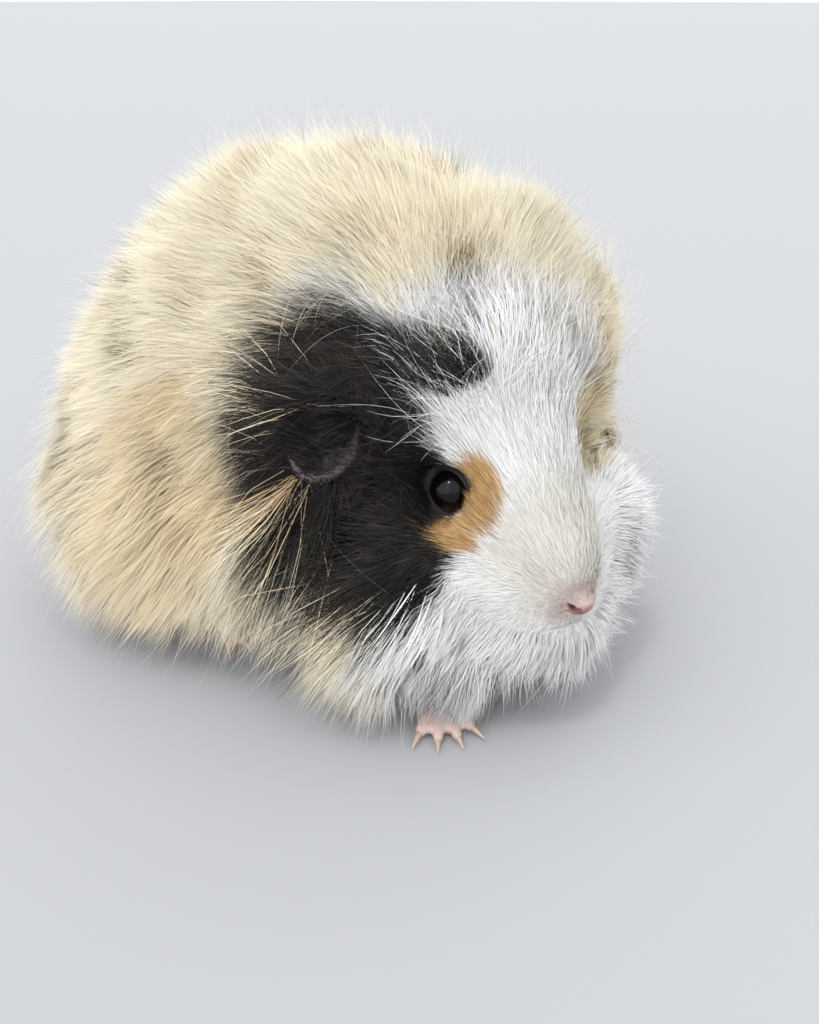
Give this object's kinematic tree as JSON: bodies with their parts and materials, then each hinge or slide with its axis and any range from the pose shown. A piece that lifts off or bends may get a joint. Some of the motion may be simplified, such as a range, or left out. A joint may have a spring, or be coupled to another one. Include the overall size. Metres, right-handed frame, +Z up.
{
  "type": "guinea pig",
  "caption": "Still life-size model of a young long-coated guinea pig, cream, white and black, crouched with its head low and turned a little to its right.",
  "frame": {"origin": "middle of the footprint of the whole box, on the floor under the animal", "axes": "+X to the animal's front along its body, +Y to its left, +Z up; the head is turned 20 degrees towards -Y"},
  "size_m": [0.1766, 0.1366, 0.1264],
  "materials": {
    "cream_coat": "soft fluffy cream fur, paler at the tips",
    "white_coat": "soft fluffy white fur",
    "black_coat": "soft fluffy black fur with a light sheen",
    "ear_skin": "thin dark skin with short hair",
    "pink_skin": "bare pink skin, slightly moist on the nose",
    "eye": "wet glossy black",
    "claw": "translucent brownish horn"
  },
  "bodies": {
    "root": {"trunk": "cream_coat", "rump": "cream_coat", "neck": "black_coat", "head": "white_coat", "lower_jaw": "white_coat", "chest": "white_coat", "foreleg_right": "cream_coat", "hind_leg_right": "cream_coat", "foreleg_left": "cream_coat", "hind_leg_left": "cream_coat", "ear_right": "ear_skin", "eye_right": "eye", "forefoot_right": "pink_skin", "hindfoot_right": "pink_skin", "ear_left": "ear_skin", "eye_left": "eye", "forefoot_left": "pink_skin", "hindfoot_left": "pink_skin", "nose": "pink_skin", "claw_forefoot_right_1": "claw", "claw_forefoot_right_2": "claw", "claw_forefoot_right_3": "claw", "claw_forefoot_right_4": "claw", "claw_hindfoot_right_1": "claw", "claw_hindfoot_right_2": "claw", "claw_hindfoot_right_3": "claw", "claw_forefoot_left_1": "claw", "claw_forefoot_left_2": "claw", "claw_forefoot_left_3": "claw", "claw_forefoot_left_4": "claw", "claw_hindfoot_left_1": "claw", "claw_hindfoot_left_2": "claw", "claw_hindfoot_left_3": "claw"}
  },
  "joints": []
}
